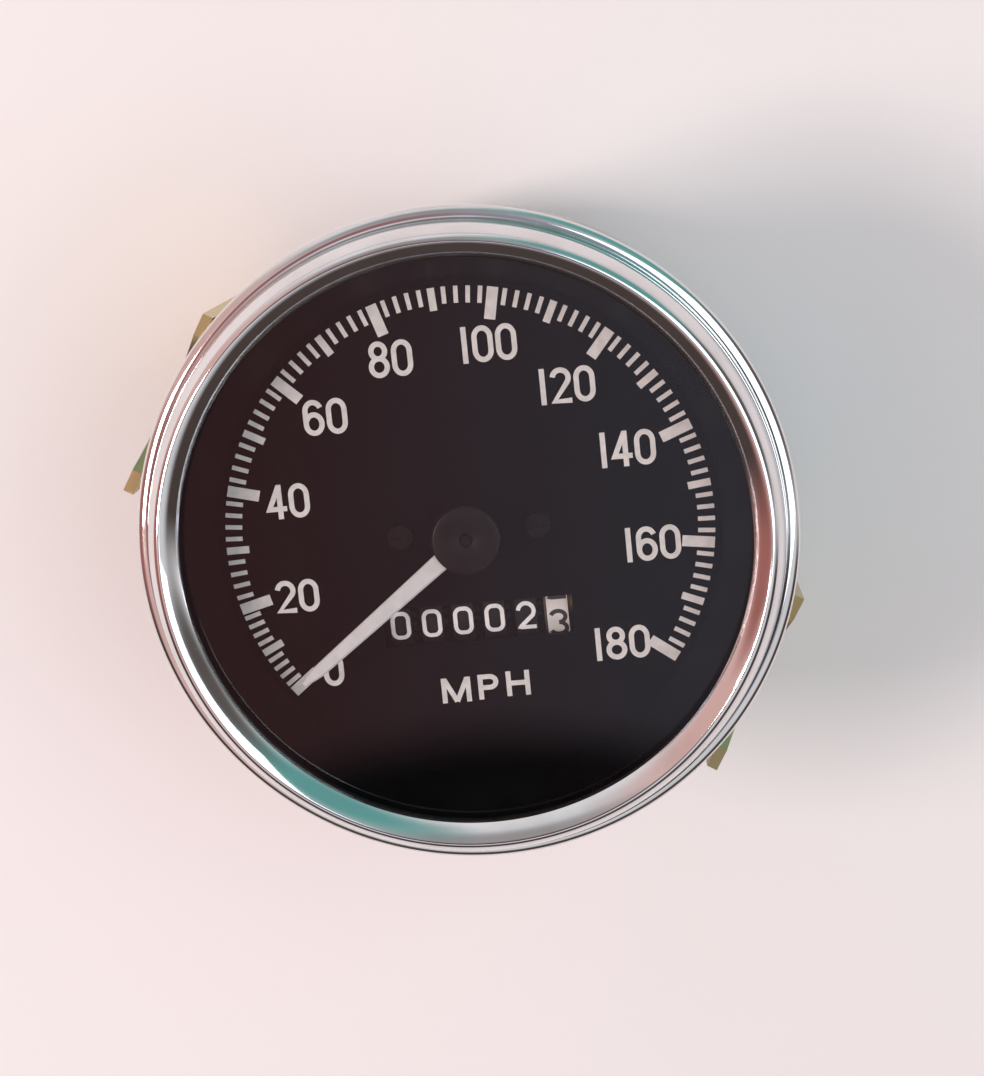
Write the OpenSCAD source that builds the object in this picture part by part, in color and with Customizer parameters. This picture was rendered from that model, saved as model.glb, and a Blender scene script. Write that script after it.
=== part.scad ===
// Round speedometer: plated bezel, black dial, drag-cup movement, drum counter and clamp strap.
// The origin is the centre of the bezel's rear seat, +Z is out of the dial and +Y is 12 o'clock.

/* [Bezel and glass] */
// Outside diameter of the bezel flange
bezel_d = 85; // [82:0.5:90]
// Width of the bezel flange, from its edge to the crease
flange_w = 1.7; // [1.5:0.1:2.2]
// Width of the rim's outer slope, from the crease to its highest ring
rise_w = 2.2; // [1.6:0.1:2.4]
// Width of the rim's inner slope, from its highest ring to the clear sight
fall_w = 2.2; // [1.6:0.1:3]
// Thickness of the rim's wall round the glass
rim_wall = 1.3; // [1:0.1:1.4]
// Thickness of the bezel sheet
bezel_t = 0.6; // [0.5:0.05:0.8]
// Rise of the rim above its inner lip
ridge_rise = 1.8; // [1.2:0.1:2.6]
// Thickness of the glass
glass_t = 2; // [1.5:0.1:3]
// Thickness of the rubber seal under the glass
seal_t = 1.5; // [1:0.1:2.5]
// Radial width of the rubber seal
seal_w = 2.4; // [1.8:0.1:2.8]
// Thickness of the mask ring's flange
mask_flange_t = 0.8; // [0.5:0.1:1.2]
// Wall of the mask ring's cone
mask_t = 0.6; // [0.4:0.1:1]
// Inward fall of the mask ring's cone, from the seal to the dial
mask_fall = 4.2; // [3:0.1:5]

/* [Dial and pointer] */
// Depth of the dial face below the bezel seat
dial_depth = 4; // [3:0.1:6]
// Gap between the dial plate's edge and the barrel
dial_room = 1.8; // [1:0.1:2.5]
// Thickness of the dial plate
dial_t = 0.8; // [0.6:0.1:1.2]
// Direction of the pointer at zero, counter-clockwise from 3 o'clock
zero_angle = 217; // [205:0.5:230]
// Distance of the two dial screws from the centre
dial_screw_x = 9; // [8:0.1:11]
// Dial window's margin left and right of the drums
window_margin = 0.7; // [0.3:0.1:1.2]
// Height of the counter window
window_h = 5.1; // [4:0.1:6]
// Gap between the pointer's end and the mask ring
pointer_room = 4; // [2:0.1:7]
// Width of the pointer blade at the hub
pointer_w = 2.7; // [2.2:0.1:3.4]
// Width of the pointer blade where its point starts
pointer_neck_w = 1.9; // [1.5:0.1:2.2]
// Length of the pointer's point
pointer_tip = 2; // [1.5:0.5:6]
// Width of the pointer's blunt end
pointer_end_w = 1.1; // [0.4:0.1:1.4]
// Thickness of the pointer blade
pointer_t = 0.6; // [0.4:0.1:0.8]
// Room between the pointer's hub and the glass
hub_room = 0.5; // [0.4:0.1:3]
// Diameter of the pointer hub
hub_d = 9; // [7:0.1:11]
// Thickness of the pointer hub's cap
hub_t = 1.1; // [0.8:0.1:2]
// Diameter of the hub's stem
stem_d = 3.5; // [2.6:0.1:4]
// Diameter of the pointer spindle
spindle_d = 1.4; // [1:0.1:1.8]

/* [Counter] */
// Distance of the counter axle below the dial centre
counter_drop = 12.2; // [12:0.1:13.4]
// Diameter of a number drum
drum_d = 16; // [15:0.1:16.4]
// Spacing of the drums along their axle
drum_pitch = 4.14; // [4:0.01:4.3]
// Width of a drum's number band
band_w = 2.8; // [2.5:0.05:2.9]
// Diameter of the drum axle
axle_d = 3; // [2.4:0.1:4]
// Diameter of the transfer pinions' axle
transfer_d = 1.5; // [1.2:0.1:1.8]
// Diameter of the cross shaft
cross_d = 2.4; // [2:0.1:3]
// Diameter of the riser shaft
riser_d = 2; // [1.6:0.1:2.2]
// Teeth of the cross wheel, driven by the main worm
cross_teeth = 20; // [20:2:22]
// Teeth of the riser wheel, driven by the cross worm
riser_teeth = 16; // [16:2:18]
// Tooth module of both worm drives
worm_module = 0.6; // [0.58:0.01:0.62]
// Pitch diameter of both worms
worm_d = 4.8; // [4.7:0.1:5.2]
// Length of both worms
worm_len = 6; // [5:0.5:7]

/* [Drag movement] */
// Diameter of the magnet
magnet_d = 22.6; // [20:0.2:23]
// Thickness of the magnet
magnet_t = 5; // [4:0.5:7]
// Wall of the drag cup
cup_t = 0.5; // [0.4:0.1:0.8]
// Air gap on each side of the drag cup
air_gap = 0.6; // [0.4:0.1:0.8]
// Wall of the field cup
field_t = 1.2; // [0.8:0.1:1.6]
// Wall between the drive worm's root and the main spindle
worm_wall = 0.31; // [0.25:0.01:0.4]
// Diameter of the main spindle's bearing journal
journal_d = 6; // [5.4:0.1:6.4]
// Width of the square drive socket
drive_sq = 2.7; // [2.6:0.1:3.2]
// Depth of the square drive socket
drive_depth = 9; // [6:0.5:12]
// Height of the hairspring strip
hair_h = 0.7; // [0.5:0.1:0.8]
// Thickness of the hairspring strip
hair_t = 0.2; // [0.1:0.05:0.3]
// Turns of the hairspring
hair_turns = 4; // [3:1:5]

/* [Case and frame] */
// Overhang of the bezel flange beyond the case barrel
overhang = 3.5; // [3.2:0.1:4]
// Thickness of the case sheet
case_t = 0.7; // [0.5:0.05:1]
// Outside radius of the case's rear corner
case_corner = 3.2; // [2:0.1:5]
// Bend radius under the case's front flange
case_bend = 0.5; // [0.3:0.1:0.6]
// Gap between that bend and the bezel's rear hole
seat_relief = 0.4; // [0.3:0.05:0.6]
// Thickness of the movement base
base_t = 2.5; // [2:0.1:4]
// Diameter of the movement base
base_d = 52; // [51:0.5:53]
// Thickness of the top bridge
bridge_t = 1.5; // [1:0.1:2]
// Height of the pillars between bridge and dial
pillar_h = 3; // [3:0.1:4]
// Diameter of the bridge posts
post_d = 4.4; // [3.6:0.1:5]
// Thickness of the counter's side plates
plate_t = 1.2; // [1:0.1:1.6]

/* [Rear fittings] */
// Thread diameter of the drive boss
boss_d = 15.88; // [15:0.01:16]
// Length of the drive boss behind the case
boss_len = 12.4; // [9:0.1:13]
// Bore for the drive cable's ferrule
ferrule_d = 10.4; // [10:0.1:11]
// Distance of the bulb holders' centres from the barrel's side
bulb_edge = 11; // [10:0.5:12]
// Diameter of the bulb holder's body
holder_d = 12; // [10:0.5:12]
// Direction of the clamp strap
strap_angle = 149; // [140:1:156]
// Width of the clamp strap
strap_w = 25.5; // [23:0.5:27]
// Thickness of the clamp strap
strap_t = 1.4; // [1:0.1:2]
// Sideways offset of the clamp strap from the centre
strap_offset = 1.75; // [0:0.05:2]
// Gap between the barrel's side and the clamp legs' ends
leg_room = 2.4; // [2.1:0.1:3]
// Outward lean of the clamp legs, from the bend to the end
leg_splay = 1.5; // [0:0.1:1.6]
// Width of the two feet at each leg's end
foot_w = 3; // [2:0.1:5]
// Depth of the arch between the feet
arch_h = 4; // [2:0.1:6]
// Gap between bezel seat and leg ends with the clamp home
panel_gap = 2.5; // [2.2:0.1:6]
// Distance of the studs from the barrel's side, along the strap
stud_edge = 8; // [7:0.1:9]
// Thread diameter of the studs
stud_d = 4.7; // [4:0.1:5]
// Height of the studs' shoulders
shoulder_h = 3.2; // [2.5:0.1:5]
// Diameter of the knurled nuts
nut_d = 14; // [12:0.5:16]
// Length of the knurled nuts
nut_h = 8; // [6:0.5:10]
// Thickness of the spring washers
washer_t = 1; // [0.6:0.1:1.4]

/* [Hidden] */
$fn = 72;

// Radial clearance of a running fit
run_fit = 0.05;
// End gap between pieces that turn side by side
end_gap = 0.2;
// Clearance round a fixed screw, sleeve or rim
slip = 0.1;
// Free space round a turning wheel
wheel_room = 0.5;
// Overshoot of a cut past the faces that it opens
cut = 1;

// Stack of the bezel: sheet, case flange, mask flange, seal, glass and lip
case_flange_z = bezel_t;
mask_flange_z = case_flange_z + case_t;
flange_h = mask_flange_z + bezel_t;
seal_z = mask_flange_z + mask_flange_t;
glass_z = seal_z + seal_t;
lip_z = glass_z + glass_t;
lip_top = lip_z + bezel_t;
bezel_h = lip_top + ridge_rise;
bezel_r = bezel_d / 2;
crease_r = bezel_r - flange_w;
ridge_r = crease_r - rise_w;
sight_r = ridge_r - fall_w;
rim_in_r = crease_r - rim_wall;
stack_r = rim_in_r - slip;
barrel_r = bezel_r - overhang;
barrel_in_r = barrel_r - case_t;
case_flange_r = bezel_r - bezel_t - slip;
mask_top_r = stack_r - seal_w;
mask_r = mask_top_r - mask_fall;
arc_steps = 12;

// Heights of dial and pointer
dial_z = -dial_depth;
dial_back = dial_z - dial_t;
dial_r = barrel_in_r - dial_room;
pointer_len = mask_r - pointer_room;
hub_top = glass_z - hub_room;
blade_top = hub_top - hub_t;
blade_z = blade_top - pointer_t;
hub_r = hub_d / 2;
hub_edge = 0.4;
eye_step = 1;
stem_r = stem_d / 2;
stem_z = dial_z + end_gap;
stem_hole_r = stem_r + wheel_room;
spindle_r = spindle_d / 2;
spindle_show = 0.2;
screw_r = 0.8;
screw_head_r = 1.6;
screw_head_h = 0.8;
slot_w = 0.4;
slot_h = 0.3;

// Top bridge, regulator and hairspring, from the dial's back downwards
bridge_top = dial_back - pillar_h;
bridge_z = bridge_top - bridge_t;
bridge_y0 = -3.5;
bridge_y1 = 9;
pillar_r = 1.5;
pillar_screw_depth = 1.8;
post_x = 19.5;
post_y = 5;
post_r = post_d / 2;
bush_r = 2;
bush_tail = 0.5;
lever_t = 0.6;
lever_ring = 1.4;
lever_w = 1.6;
lever_len = 8.5;
lever_top = bridge_top + lever_t;
hair_lift = 0.3;
hair_z = lever_top + hair_lift;
arm_z = hair_z + hair_h + end_gap;
arm_t = 0.6;
arm_half_w = 0.5;
arm_room = 0.5;
arm_r = dial_screw_x - pillar_r - arm_room;
stop_step = 0.6;
stop_r = arm_r - stop_step;
stop_pin_r = 0.4;
stop_angle = 150;
stop_touch = 0.05;
arm_angle = stop_angle - asin((stop_pin_r + arm_half_w + stop_touch) / stop_r);
collet_r = 1.6;
hair_in_r = collet_r + run_fit;
hair_out_r = 5.4;
hair_step = 15;
hair_stud_r = 0.5;
hair_angle = 90;

// Number drums and their transfer pinions
drum_r = drum_d / 2;
drum_y = -counter_drop;
drum_top_gap = 0.5;
drum_z = dial_back - drum_top_gap - drum_r;
drum_count = 6;
drum_gap = drum_pitch - band_w;
axle_r = axle_d / 2;
spacer_wall = 1;
band_half = band_w / 2;
drum_teeth = 20;
transfer_teeth = 8;
transfer_axle_r = transfer_d / 2;
transfer_room = 0.35;
transfer_dist = drum_r + transfer_axle_r + transfer_room;
transfer_module = 2 * transfer_dist / (drum_teeth + transfer_teeth);
transfer_y = drum_y - transfer_dist;
tooth_out = 0.8;
tooth_in = 1.05;
drum_foot = 0.6;
drum_tip = 0.22;
transfer_foot = 0.6;
transfer_tip = 0.2;
gear_share = 0.6;
drum_gear_w = gear_share * (drum_gap - end_gap);
driver_w = drum_gap - end_gap - drum_gear_w;
driver_notch_w = 1.2;
driver_notch_h = 0.8;
pinion_w = drum_gap - 2 * end_gap;
transfer_tip_r = transfer_module * (transfer_teeth / 2 + tooth_out);
driver_r = transfer_dist - transfer_tip_r - end_gap;
drum_web_r = 3.2;
drum_rim_t = 1.2;
drum_recess = 0.8;
function drum_x(place) = stack_right - band_half - place * drum_pitch;

// Worm drives
worm_pitch = PI * worm_module;
worm_r = worm_d / 2;
worm_add = 1;
worm_ded = 1.15;
worm_tip_r = worm_r + worm_add * worm_module;
worm_root_r = worm_r - worm_ded * worm_module;
worm_points = 18;
worm_crest = 0.11;
worm_foot = 0.31;
wheel_w = 1.6;
wheel_add = 0.9;
wheel_foot = 0.62;
wheel_tip = 0.18;
cross_r = cross_teeth * worm_module / 2;
cross_tip_r = cross_r + wheel_add * worm_module;
riser_wheel_r = riser_teeth * worm_module / 2;
riser_tip_r = riser_wheel_r + wheel_add * worm_module;
cross_x = worm_r + cross_r;
riser_x = cross_x + worm_r + riser_wheel_r;
cross_shaft_r = cross_d / 2;
riser_r = riser_d / 2;

// Crown gear on the tenths drum and its pinion on the riser
crown_teeth = 32;
riser_pinion_teeth = 8;
crown_r = 6.2;
crown_module = 2 * crown_r / crown_teeth;
riser_pinion_r = riser_pinion_teeth * crown_module / 2;
riser_pinion_tip = riser_pinion_r + tooth_out * crown_module;
riser_ded = 1.2;
riser_pinion_root = riser_pinion_r - riser_ded * crown_module;
riser_foot = 0.55;
riser_tip = 0.2;
riser_pinion_h = 1.6;
crown_tooth_w = 2;
crown_tooth_step = 0.3;
crown_half = 0.21;
crown_clear = 0.15;
crown_tip_x = riser_x - riser_pinion_root - crown_clear;
crown_root_x = riser_x - riser_pinion_tip - crown_clear;
crown_t = 0.9;
crown_room = 3.85;
stack_right = riser_x - crown_room;
stack_left = drum_x(drum_count - 1) - band_half;
window_x = (stack_left + stack_right) / 2;
window_w = stack_right - stack_left + 2 * window_margin;
crown_hub_r = 4;
crown_z = drum_z - crown_r;
riser_top = crown_z + riser_pinion_h / 2;
riser_lug_gap = 0.6;
riser_lug_top = crown_z - riser_pinion_h / 2 - riser_lug_gap;

// Drag cup, magnet and field cup, from the drums downwards
under_drums = 1.5;
cup_top = drum_z - drum_r - under_drums;
cup_disc_t = 0.6;
cup_under = cup_top - cup_disc_t;
magnet_top = cup_under - air_gap;
magnet_z = magnet_top - magnet_t;
magnet_r = magnet_d / 2;
cup_in_r = magnet_r + air_gap;
cup_out_r = cup_in_r + cup_t;
cup_z = magnet_z + air_gap;
field_in_r = cup_out_r + air_gap;
field_out_r = field_in_r + field_t;
field_z = magnet_z - field_t;
field_top = cup_under - air_gap;
cup_collet_r = 2.2;
cup_collet_h = 1.2;
pivot_len = 3.5;
pivot_room = 0.5;

// Cross shaft, base and rear wall
cross_z = field_z - wheel_room - cross_tip_r;
base_top = cross_z - cross_tip_r - wheel_room;
base_z = base_top - base_t;
back_z = base_z - case_t;
base_r = base_d / 2;
lug_half = 3;
lug_t = 2;
lug_near_y = 4.5;
lug_reach = 7;
lug_far_y = drum_y - lug_reach;
lug_top = cross_z + lug_half;
shaft_end = 0.5;
main_r = worm_root_r - worm_wall;
journal_r = journal_d / 2;
bush_wall = 1.8;
main_bush_r = journal_r + run_fit + bush_wall;
main_bush_z = base_top - drive_depth;
thrust_t = 0.8;
thrust_r = 4.6;
collar_t = 1.2;
collar_r = 3.5;
collar_z = base_top + thrust_t + run_fit;
journal_z = main_bush_z - run_fit;
boss_r = boss_d / 2;
boss_flange_w = 2.5;
boss_flange_r = boss_r + boss_flange_w;
spigot_w = 0.8;
spigot_r = boss_r + spigot_w;
spigot_h = 0.6;
boss_z = back_z - boss_len;

// Side plates of the counter
left_room = 2.2;
left_in_x = stack_left - left_room;
right_in_x = riser_x + riser_tip_r + wheel_room;
plate_half = 3.2;
plate_head = 3;
foot_len = 5.6;
plate_screw_x = 2.6;
foot_screw_r = 0.9;

// Rear fittings
holder_r = holder_d / 2;
holder_angles = [85, 265];
bulb_r = barrel_r - bulb_edge;
holder_flange_w = 1.5;
holder_flange_t = 1.2;
holder_tail_r = 4.4;
holder_tail = 6.5;
holder_inside = 3;
bulb_glass_r = 4;
bulb_len = 9;
bulb_relief = 0.8;
fix_r = 18;
fix_angles = [strap_angle - 90, strap_angle + 90];
fix_screw_r = 1.5;
fix_head_r = 2.8;
fix_head_h = 1.8;
fix_depth = 2;
strap_end_x = barrel_r + leg_room + strap_t;
strap_leg_x = strap_end_x - leg_splay;
arch_half = strap_w / 2 - foot_w;
arch_r = (arch_half * arch_half + arch_h * arch_h) / (2 * arch_h);
arch_z = arch_r - arch_h - panel_gap;
strap_bend = 3;
strap_front = back_z - shoulder_h;
strap_z = strap_front - strap_t;
strap_boss_room = 1.2;
stud_r = stud_d / 2;
shoulder_w = 1.2;
shoulder_r = stud_r + shoulder_w;
stud_head_w = 0.25;
stud_head_r = stud_r + stud_head_w;
stud_head_t = 1.2;
stud_room = 0.45;
washer_w = 1.6;
nut_r = nut_d / 2;
nut_chamfer = 0.6;
nut_top = strap_z - washer_t;
nut_z = nut_top - nut_h;
stud_end = nut_z + end_gap;
stud_x = barrel_r - stud_edge;
stud_places = [stud_x, -stud_x];

// Colours
plated = "gainsboro";
blackened = "dimgray";
steel = "silver";
brass = "goldenrod";
zinc_yellow = "darkkhaki";
alloy = "lightgray";
black = "#1c1c1c";
white = "white";
rubber = "#2b2b2b";

// Points along an arc of an ellipse
function arc(cx, cy, rx, ry, from, to) =
    [for (i = [0:arc_steps]) let (a = from + (to - from) * i / arc_steps)
        [cx + rx * cos(a), cy + ry * sin(a)]];

// Outline of a straight-toothed wheel whose first tooth points along +X
function wheel_points(teeth, root, tip, foot_share, tip_share) = [
    for (i = [0:teeth - 1]) for (k = [0:3])
        let (a = 360 / teeth * (i + [-foot_share, -tip_share, tip_share, foot_share][k] / 2),
             r = [root, tip, tip, root][k])
        [r * cos(a), r * sin(a)]];

// Radius of a worm's thread across one turn, with the crest at zero
function thread_r(share) =
    let (d = min(share, 1 - share))
    d <= worm_crest ? worm_tip_r
    : d >= worm_foot ? worm_root_r
    : worm_tip_r + (worm_root_r - worm_tip_r) * (d - worm_crest) / (worm_foot - worm_crest);

// A round bar or a tube between two heights
module bar(r, z0, z1) {
    translate([0, 0, z0]) cylinder(r = r, h = z1 - z0);
}

module tube(r_out, r_in, z0, z1) {
    difference() {
        bar(r_out, z0, z1);
        bar(r_in, z0 - cut, z1 + cut);
    }
}

// Turns the Z axis of its children along +X or +Y
module along_x(y, z) {
    translate([0, y, z]) rotate([0, 90, 0]) children();
}

module along_y(x, z) {
    translate([x, 0, z]) rotate([-90, 0, 0]) children();
}

// Places children left and right of the centre
module both_sides(x, y) {
    for (side = [-1, 1]) translate([side * x, y, 0]) children();
}

// Places children at a radius in each of several directions
module at_angles(r, angles) {
    for (a = angles) rotate([0, 0, a]) translate([r, 0, 0]) children();
}

// The clamp strap's own frame: X along the strap, Y across it
module on_strap() {
    rotate([0, 0, strap_angle]) translate([0, strap_offset, 0]) children();
}

module at_studs() {
    on_strap() for (x = stud_places) translate([x, 0, 0]) children();
}

// A slotted round-head screw, head up on z = 0 and shank below
module slotted_screw(head_r, head_h, shank_r, shank_h) {
    difference() {
        union() {
            bar(head_r, 0, head_h);
            bar(shank_r, -shank_h, 0);
        }
        translate([-head_r, -slot_w / 2, head_h - slot_h]) cube([2 * head_r, slot_w, 2 * slot_h]);
    }
}

// A worm on the Z axis, centred on z = 0, with a groove facing +X at its middle
module worm(bore_r) {
    difference() {
        translate([0, 0, -worm_len / 2])
            rotate([0, 0, 180 - 180 * worm_len / worm_pitch])
            linear_extrude(height = worm_len, twist = -360 * worm_len / worm_pitch,
                slices = round(worm_points * worm_len / worm_pitch), $fn = worm_points)
            polygon([for (i = [0:worm_points - 1])
                let (a = 360 * i / worm_points, r = thread_r(i / worm_points))
                [r * cos(a), r * sin(a)]]);
        bar(bore_r, -worm_len, worm_len);
    }
}

// A wheel for a worm, centred on z = 0
module worm_wheel(teeth, bore_r) {
    pitch_r = teeth * worm_module / 2;
    difference() {
        translate([0, 0, -wheel_w / 2]) linear_extrude(wheel_w)
            polygon(wheel_points(teeth, pitch_r - worm_ded * worm_module,
                pitch_r + wheel_add * worm_module, wheel_foot, wheel_tip));
        bar(bore_r, -wheel_w, wheel_w);
    }
}

module bezel() {
    bead = flange_h / 2;
    rise_r = crease_r - ridge_r;
    rear_in_r = barrel_r + case_bend + seat_relief;
    outline = concat(
        [[rear_in_r, 0]],
        arc(bezel_r - bead, bead, bead, bead, -90, 90),
        arc(ridge_r, flange_h, rise_r, bezel_h - flange_h, 0, 90),
        [[sight_r, lip_top], [sight_r, lip_z], [rim_in_r, lip_z], [rim_in_r, mask_flange_z],
         [case_flange_r + slip, mask_flange_z], [case_flange_r + slip, case_flange_z],
         [rear_in_r, case_flange_z]]);
    color(plated) rotate_extrude() polygon(outline);
}

module glass() {
    color("lightblue", 0.3) bar(stack_r, glass_z, lip_z);
}

module glass_seal() {
    color(rubber) tube(stack_r, mask_top_r, seal_z, glass_z);
}

module mask_ring() {
    outline = [[mask_r, dial_z], [mask_r + mask_t, dial_z], [mask_top_r + mask_t, mask_flange_z],
        [stack_r, mask_flange_z], [stack_r, seal_z], [mask_top_r, seal_z]];
    color(black) rotate_extrude() polygon(outline);
}

module dial_plate() {
    color(black) difference() {
        bar(dial_r, dial_back, dial_z);
        bar(stem_hole_r, dial_back - cut, dial_z + cut);
        both_sides(dial_screw_x, 0) bar(screw_r + slip, dial_back - cut, dial_z + cut);
        translate([window_x - window_w / 2, drum_y - window_h / 2, dial_back - cut])
            cube([window_w, window_h, dial_t + 2 * cut]);
    }
}

module dial_screws() {
    color(blackened) both_sides(dial_screw_x, 0) translate([0, 0, dial_z])
        slotted_screw(screw_head_r, screw_head_h, screw_r, dial_t + pillar_screw_depth);
}

module pointer_blade() {
    neck = pointer_len - pointer_tip;
    eye_r = hub_r - eye_step;
    color(white) rotate([0, 0, zero_angle]) difference() {
        translate([0, 0, blade_z]) linear_extrude(pointer_t) union() {
            circle(r = eye_r);
            polygon([[0, -pointer_w / 2], [hub_r, -pointer_w / 2], [neck, -pointer_neck_w / 2],
                [pointer_len, -pointer_end_w / 2], [pointer_len, pointer_end_w / 2],
                [neck, pointer_neck_w / 2], [hub_r, pointer_w / 2], [0, pointer_w / 2]]);
        }
        bar(stem_r, blade_z - cut, blade_top + cut);
    }
}

module pointer_hub() {
    outline = concat(
        [[spindle_r, stem_z], [stem_r, stem_z], [stem_r, blade_top], [hub_r, blade_top]],
        arc(hub_r - hub_edge, hub_top - hub_edge, hub_edge, hub_edge, 0, 90),
        [[spindle_r, hub_top]]);
    color(black) rotate_extrude() polygon(outline);
}

module pointer_spindle() {
    color(steel) bar(spindle_r, magnet_top - pivot_len, hub_top + spindle_show);
}

module hairspring_collet() {
    color(brass) difference() {
        union() {
            bar(collet_r, hair_z, arm_z + arm_t);
            rotate([0, 0, arm_angle]) translate([0, -arm_half_w, arm_z])
                cube([arm_r, 2 * arm_half_w, arm_t]);
        }
        bar(spindle_r, hair_z - cut, arm_z + arm_t + cut);
    }
}

module hairspring() {
    sweep = 360 * hair_turns;
    steps = sweep / hair_step;
    climb = (hair_out_r - hair_in_r - hair_t) / sweep;
    inner = [for (i = [0:steps]) let (a = i * hair_step, r = hair_in_r + climb * a)
        [r * cos(a + hair_angle), r * sin(a + hair_angle)]];
    outer = [for (i = [steps:-1:0]) let (a = i * hair_step, r = hair_in_r + hair_t + climb * a)
        [r * cos(a + hair_angle), r * sin(a + hair_angle)]];
    color(steel) translate([0, 0, hair_z]) linear_extrude(hair_h) polygon(concat(inner, outer));
}

module cup_collet() {
    color(brass) tube(cup_collet_r, spindle_r, cup_top, cup_top + cup_collet_h);
}

module drag_cup() {
    outline = [[spindle_r, cup_under], [cup_in_r, cup_under], [cup_in_r, cup_z], [cup_out_r, cup_z],
        [cup_out_r, cup_top], [spindle_r, cup_top]];
    color(alloy) rotate_extrude() polygon(outline);
}

module magnet() {
    color(blackened) tube(magnet_r, main_r, magnet_z, magnet_top);
}

module field_cup() {
    outline = [[main_r, field_z], [field_out_r, field_z], [field_out_r, field_top], [field_in_r, field_top],
        [field_in_r, magnet_z], [main_r, magnet_z]];
    color(steel) rotate_extrude() polygon(outline);
}

module main_spindle() {
    color(steel) difference() {
        union() {
            bar(journal_r, journal_z, collar_z);
            bar(main_r, collar_z, magnet_top);
        }
        translate([-drive_sq / 2, -drive_sq / 2, journal_z - cut])
            cube([drive_sq, drive_sq, drive_depth + cut]);
        bar(spindle_r + run_fit, magnet_top - pivot_len - pivot_room, magnet_top + cut);
    }
}

module drive_worm() {
    color(steel) translate([0, 0, cross_z]) worm(main_r);
}

module spindle_collar() {
    color(brass) tube(collar_r, main_r, collar_z, collar_z + collar_t);
}

module thrust_washer() {
    color(brass) tube(thrust_r, journal_r + run_fit, base_top, base_top + thrust_t);
}

module main_bush() {
    color(brass) tube(main_bush_r, journal_r + run_fit, main_bush_z, base_top);
}

module drive_boss() {
    color(alloy) difference() {
        union() {
            bar(boss_r, boss_z, base_z);
            bar(spigot_r, back_z - spigot_h, base_z);
            bar(boss_flange_r, base_z, base_top);
        }
        bar(main_bush_r, boss_z - cut, base_top + cut);
        bar(ferrule_d / 2, boss_z - cut, main_bush_z);
    }
}

module movement_base() {
    color(alloy) difference() {
        union() {
            bar(base_r, base_z, base_top);
            for (y = [lug_near_y, lug_far_y])
                translate([cross_x - lug_half, y - lug_t / 2, base_top])
                    cube([2 * lug_half, lug_t, lug_top - base_top]);
        }
        bar(boss_flange_r, base_z - cut, base_top + cut);
        at_studs() bar(stud_head_r + slip, base_z - cut, base_top + cut);
        at_angles(bulb_r, holder_angles) bar(holder_r + bulb_relief, base_z - cut, base_top + cut);
        at_angles(fix_r, fix_angles) bar(fix_screw_r, base_z - cut, base_z + fix_depth);
        along_y(cross_x, cross_z) bar(cross_shaft_r + run_fit, lug_far_y - lug_t, lug_near_y + lug_t);
        translate([riser_x, drum_y, 0]) bar(riser_r + run_fit, base_z + shaft_end, base_top + cut);
        at_plate_screws() bar(foot_screw_r, base_top - fix_depth, base_top + cut);
    }
}

module bridge_posts() {
    color(steel) both_sides(post_x, post_y) difference() {
        bar(post_r, base_top, bridge_z);
        bar(foot_screw_r, bridge_z - fix_depth, bridge_z + cut);
    }
}

module top_bridge() {
    end_r = bridge_y1 - post_y;
    color(alloy) difference() {
        union() {
            translate([-post_x, bridge_y0, bridge_z])
                cube([2 * post_x, bridge_y1 - bridge_y0, bridge_t]);
            both_sides(post_x, post_y) bar(end_r, bridge_z, bridge_top);
            rotate([0, 0, stop_angle]) translate([stop_r, 0, 0])
                bar(stop_pin_r, bridge_z, arm_z + arm_t);
        }
        bar(bush_r, bridge_z - cut, bridge_top + cut);
        both_sides(post_x, post_y) bar(foot_screw_r, bridge_z - cut, bridge_top + cut);
    }
}

// Places of the screws that hold the counter's side plates
module at_plate_screws() {
    translate([left_in_x - plate_t - plate_screw_x, drum_y, 0]) children();
    translate([right_in_x - plate_screw_x, drum_y, 0]) children();
}

module frame_screws() {
    color(steel) {
        both_sides(post_x, post_y) translate([0, 0, bridge_top])
            slotted_screw(screw_head_r, screw_head_h, foot_screw_r, bridge_t + fix_depth);
        at_plate_screws() translate([0, 0, base_top + plate_t])
            slotted_screw(screw_head_r, screw_head_h, foot_screw_r, plate_t + fix_depth);
    }
}

module dial_pillars() {
    color(brass) both_sides(dial_screw_x, 0) difference() {
        bar(pillar_r, bridge_top, dial_back);
        bar(screw_r + slip, dial_back - pillar_screw_depth, dial_back + cut);
    }
}

module spindle_bush() {
    color(brass) tube(bush_r, spindle_r + run_fit, bridge_z - bush_tail, lever_top);
}

module regulator_lever() {
    color(brass) difference() {
        union() {
            bar(bush_r + lever_ring, bridge_top, lever_top);
            rotate([0, 0, hair_angle]) translate([0, -lever_w / 2, bridge_top])
                cube([lever_len, lever_w, lever_t]);
            rotate([0, 0, hair_angle]) translate([hair_out_r + hair_stud_r + run_fit, 0, 0])
                bar(hair_stud_r, bridge_top, hair_z + hair_h);
        }
        bar(bush_r, bridge_top - cut, lever_top + cut);
    }
}

// Outline of a side plate: a leg up from the foot, and a head that holds both axles
module plate_outline() {
    head_bottom = drum_z - plate_head;
    head_top = drum_z + plate_head;
    head_y = transfer_y - plate_head / 2;
    polygon([[drum_y - plate_half, base_top], [drum_y + plate_half, base_top],
        [drum_y + plate_half, head_top], [head_y, head_top], [head_y, head_bottom],
        [drum_y - plate_half, head_bottom]]);
}

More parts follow.
